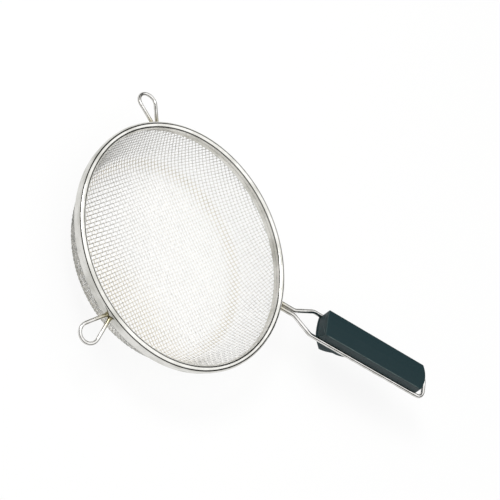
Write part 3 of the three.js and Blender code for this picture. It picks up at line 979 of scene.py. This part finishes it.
class STRAINER_OT_handle(bpy.types.Operator):
    """Bend the handle's hairpin wire"""

    bl_idname = "strainer.handle"
    bl_label = "Handle wire"

    def execute(self, context):
        sizes = context.scene.strainer_handle
        path = self.hairpin(sizes)
        rings, marks = welded_wire(path, sizes.wire, sizes, HANDLE_RINGS, HANDLE_SIDES)
        rings = placed(rings, -sizes.rise, 0, (sizes.weld_radius, 0, sizes.height))
        material = drawn_wire(context.scene.strainer_finish)
        add_piece("handle_hairpin", rings, material, "handle_wire", marks=marks)
        return {"FINISHED"}

    def hairpin(self, sizes):
        """The wire's middle line on its own plane: from one weld out, round the end and back.

        It is the open outline of eight corners, six of them rounded to the bend radii.
        """
        side = np.array(
            [
                [-sizes.weld_inset, sizes.root_half],
                [sizes.splay_start, sizes.root_half],
                [sizes.splay_end, sizes.spread_half],
                [sizes.reach, sizes.spread_half],
            ]
        )
        corners = np.vstack([side, side[::-1] * [1, -1]])
        bends = np.array([0, sizes.splay_bend, sizes.splay_bend, sizes.end_bend])
        return round_corners(corners, np.concatenate([bends, bends[::-1]]), BEND_STEPS)


class STRAINER_OT_loops(bpy.types.Operator):
    """Bend the two rest loops"""

    bl_idname = "strainer.loops"
    bl_label = "Rest loops"

    def execute(self, context):
        sizes = context.scene.strainer_loops
        handle = context.scene.strainer_handle
        path = self.teardrop(sizes, -handle.weld_inset)
        rings, marks = welded_wire(path, sizes.wire, handle, LOOP_RINGS, LOOP_SIDES)
        material = drawn_wire(context.scene.strainer_finish)
        for side, sign in (("left", 1), ("right", -1)):
            bearing = sign * sizes.azimuth
            origin = (handle.weld_radius * cos(bearing), handle.weld_radius * sin(bearing), sizes.height)
            loop = placed(rings, sizes.droop, bearing, origin)
            add_piece(f"rest_loop_{side}_wire", loop, material, f"rest_loop_{side}", marks=marks)
        return {"FINISHED"}

    def teardrop(self, sizes, weld):
        """The loop's middle line: straight from each weld to where it touches the eye's circle.

        The touching point's angle a satisfies distance * cos(a + lean) = -radius, with the distance
        and lean of the eye's centre as seen from the weld.
        """
        run = sizes.eye_centre - weld
        distance = np.hypot(run, sizes.root_half)
        touch = np.arccos(-sizes.eye_radius / distance) - np.arctan2(sizes.root_half, run)
        angles = np.linspace(touch, -touch, EYE_STEPS)
        circle = np.stack([np.cos(angles), np.sin(angles)], axis=1)
        eye = sizes.eye_radius * circle + [sizes.eye_centre, 0]
        return np.vstack([[weld, sizes.root_half], eye, [weld, -sizes.root_half]])


class STRAINER_OT_grip(bpy.types.Operator):
    """Mould the grip's two shells round the handle wire"""

    bl_idname = "strainer.grip"
    bl_label = "Grip"

    def execute(self, context):
        sizes = context.scene.strainer_grip
        handle = context.scene.strainer_handle
        material = moulded_plastic(context.scene.strainer_finish)
        for name, shell in (("upper", self.upper_shell), ("lower", self.lower_shell)):
            rings, wear = shell(sizes, handle)
            rings = placed(rings, -handle.rise, 0, (handle.weld_radius, 0, handle.height))
            add_piece(f"grip_{name}_shell", rings, material, f"grip_{name}", marks={"edge": wear})
        return {"FINISHED"}

    def end_rounding(self, radius):
        """Steps that close an end: a face from its middle out, then a quarter circle into the sides.

        Each step is (share of the section kept, inset from the full section, distance from the end).
        """
        face = np.linspace(FACE_CORE, 1, FACE_STEPS + 1)[:-1]
        angles = np.linspace(0, pi / 2, END_STEPS - FACE_STEPS)
        keep = np.concatenate([face, np.ones(len(angles))])
        inset = np.concatenate([np.full(FACE_STEPS, radius), radius * (1 - np.sin(angles))])
        back = np.concatenate([np.zeros(FACE_STEPS), radius * (1 - np.cos(angles))])
        return keep, inset, back

    def ring_shares(self, body):
        """Each ring's share of the way along a bar: 0 and 1 at its ends, and even steps between."""
        between = np.linspace(0, 1, body + 2)[1:-1]
        return np.concatenate([np.zeros(END_STEPS), between, np.ones(END_STEPS)])

    def closed_bar(self, sizes, sections, middle):
        """A bar of sections (rings, points, 2) between two bulged end faces.

        Both faces curve in by bulge (across / half width)^2. Above the rods they also lean, by straight
        shares of the height: the front back towards its foot, the far face in towards its top. The end
        rings shrink towards `middle` by the end rounding, and the body's rings lie between them.
        """
        radius = sizes.edge_radius
        body = len(sections) - 2 * END_STEPS
        keep, inset, back = self.end_rounding(radius)
        keep = np.concatenate([keep, np.ones(body), keep[::-1]])[:, None, None]
        inset = np.concatenate([inset, np.zeros(body), inset[::-1]])[:, None, None]
        spread = sections - middle
        half = np.abs(spread).max(axis=1, keepdims=True)
        shrunk = middle + spread * keep * (1 - inset / half)
        across = shrunk[..., 0]
        height = shrunk[..., 1]
        bulge = (across / sizes.top_half) ** 2
        rise = np.maximum(height, 0) / (sizes.edge_height + sizes.crown)
        start = sizes.start + sizes.front_bulge * bulge + sizes.undercut * (1 - rise)
        end = sizes.end - sizes.end_bulge * bulge - sizes.end_rake * rise
        share = self.ring_shares(body)[:, None]
        shift = np.concatenate([back, np.zeros(body), -back[::-1]])[:, None]
        shift = shift + np.where((share > 0) & (share < 1), radius * (1 - 2 * share), 0)
        along = start + (end - start) * share + shift
        return np.stack([along, across, height], axis=-1)

    def edge_wear(self, rings, corner_count, marked):
        """Wear of the points on an outline's corners: half a sine wave over each worn corner."""
        wear = np.zeros((rings, corner_count, ARC_STEPS))
        wear[:, marked] = np.sin(np.linspace(0, pi, ARC_STEPS))
        return wear

    def upper_shell(self, sizes, handle):
        """The upper shell: a bar of one section with a crowned top and a groove over each rod.

        The top's corners lie on height = edge height + crown (1 - (across / half)^2), rounded widely.
        """
        groove = sizes.groove - sizes.groove_ease
        groove_round = groove - sizes.parting - sizes.groove_ease
        inner = handle.spread_half - sizes.groove
        crown_bend = sizes.edge_height + sizes.crown * (1 - CROWN_SHARE ** 2)
        side = np.array(
            [
                [inner, sizes.parting],
                [inner, groove],
                [sizes.foot_half, groove],
                [sizes.top_half, sizes.edge_height],
                [sizes.top_half * CROWN_SHARE, crown_bend],
            ]
        )
        top = [0.0, sizes.edge_height + sizes.crown]
        corners = np.vstack([side, top, side[::-1] * [-1, 1]])
        rounds = np.array(
            [sizes.parting_round, groove_round, sizes.foot_round, sizes.edge_radius, sizes.crown_round]
        )
        rounds = np.concatenate([rounds, [sizes.crown_round], rounds[::-1]])
        section = split_edges(round_corners(corners, rounds, ARC_STEPS), EDGE_PARTS)
        rings = UPPER_RINGS + 2 * END_STEPS
        middle = np.array([0.0, sizes.edge_height * UPPER_MIDDLE])
        bar = self.closed_bar(sizes, np.broadcast_to(section, (rings, *section.shape)), middle)
        # The fourth corner from each end of the outline is a top edge.
        wear = self.edge_wear(rings, len(corners), [3, -4])
        ends = END_WEAR * np.sin(np.linspace(0, pi, END_STEPS - FACE_STEPS))[:, None, None]
        wear[FACE_STEPS:END_STEPS] = ends
        wear[-END_STEPS:-FACE_STEPS] = ends
        return bar, split_edges(wear.reshape(rings, -1, 1), EDGE_PARTS)

    def lower_shell(self, sizes, handle):
        """The lower shell: a bar whose depth follows the finger stop, its hollow and the plain rear.

        Its sides lean in by taper times the depth below the grooves.
        """
        rings = LOWER_RINGS + 2 * END_STEPS
        run = sizes.end - sizes.start - sizes.undercut
        from_front = sizes.undercut + self.ring_shares(LOWER_RINGS) * run
        depth = np.interp(from_front, *self.stop_line(sizes))
        groove = sizes.groove - sizes.groove_ease
        groove_round = groove - sizes.parting - sizes.groove_ease
        inner = handle.spread_half - sizes.groove
        floor_half = sizes.lower_half - sizes.taper * (depth - groove)
        side = np.empty((rings, 4, 2))
        side[:, 0] = np.stack([floor_half, -depth], axis=1)
        side[:, 1:] = [[sizes.lower_half, -groove], [inner, -groove], [inner, -sizes.parting]]
        corners = np.concatenate([side, side[:, ::-1] * [-1, 1]], axis=1)
        rounds = np.array([sizes.edge_radius, sizes.lip_round, groove_round, sizes.parting_round])
        rounds = np.broadcast_to(np.concatenate([rounds, rounds[::-1]]), corners.shape[:2])
        sections = split_edges(round_corners(corners, rounds, ARC_STEPS), EDGE_PARTS)
        middle = np.stack([np.zeros(rings), -depth * LOWER_MIDDLE], axis=1)[:, None]
        bar = self.closed_bar(sizes, sections, middle)
        # The first and the last corner of the outline are the bottom edges.
        wear = self.edge_wear(rings, corners.shape[1], [0, -1])
        return bar, split_edges(wear.reshape(rings, -1, 1), EDGE_PARTS)

    def stop_line(self, sizes):
        """Distances from the front and the shell's depths there, along the finger stop and its hollow.

        The stop's front is straight and leans back, and two quadratic curves lead from its tip to the
        hollow and over the heel to the plain rear.
        """
        lip = np.array([sizes.undercut, sizes.groove + sizes.front_lip])
        stop = np.array([sizes.stop_rake, sizes.stop_depth])
        hollow = np.array([sizes.hollow_place, sizes.hollow_depth])
        rear = np.array([sizes.stop_length, sizes.lower_depth])
        stop_bend = np.array([(stop[0] + hollow[0]) / 2, sizes.stop_depth])
        heel_bend = np.array([(hollow[0] + rear[0]) / 2, sizes.heel_depth])
        to_hollow = quadratic(stop, stop_bend, hollow, STOP_STEPS)
        to_rear = quadratic(hollow, heel_bend, rear, STOP_STEPS)
        line = np.vstack([lip, to_hollow, to_rear[1:]])
        return line[:, 0], line[:, 1]


class VIEW3D_PT_strainer(bpy.types.Panel):
    """Lists the strainer's pieces"""

    bl_idname = "VIEW3D_PT_strainer"
    bl_label = "Wire mesh strainer"
    bl_space_type = "VIEW_3D"
    bl_region_type = "UI"
    bl_category = "Strainer"

    def draw(self, context):
        column = self.layout.column()
        for operator in OPERATORS:
            column.operator(operator.bl_idname)
        for name in SETTINGS:
            group = getattr(context.scene, name)
            column.label(text=group.bl_rna.description)
            for key in type(group).__annotations__:
                column.prop(group, key)


OPERATORS = (
    STRAINER_OT_stage,
    STRAINER_OT_rim,
    STRAINER_OT_cloth,
    STRAINER_OT_handle,
    STRAINER_OT_loops,
    STRAINER_OT_grip,
)
SETTINGS = {
    "strainer_stage": StageSettings,
    "strainer_finish": Finishes,
    "strainer_rim": RimSizes,
    "strainer_cloth": ClothSizes,
    "strainer_handle": HandleSizes,
    "strainer_loops": LoopSizes,
    "strainer_grip": GripSizes,
}


def register():
    for kind in (*SETTINGS.values(), *OPERATORS, VIEW3D_PT_strainer):
        bpy.utils.register_class(kind)
    for name, kind in SETTINGS.items():
        setattr(bpy.types.Scene, name, PointerProperty(type=kind))


def unregister():
    for name in SETTINGS:
        delattr(bpy.types.Scene, name)
    for kind in reversed((*SETTINGS.values(), *OPERATORS, VIEW3D_PT_strainer)):
        bpy.utils.unregister_class(kind)


def main():
    """Makes the stage and every piece."""
    register()
    bpy.ops.strainer.stage()
    bpy.ops.strainer.rim()
    bpy.ops.strainer.cloth()
    bpy.ops.strainer.handle()
    bpy.ops.strainer.loops()
    bpy.ops.strainer.grip()


if __name__ == "__main__":
    main()
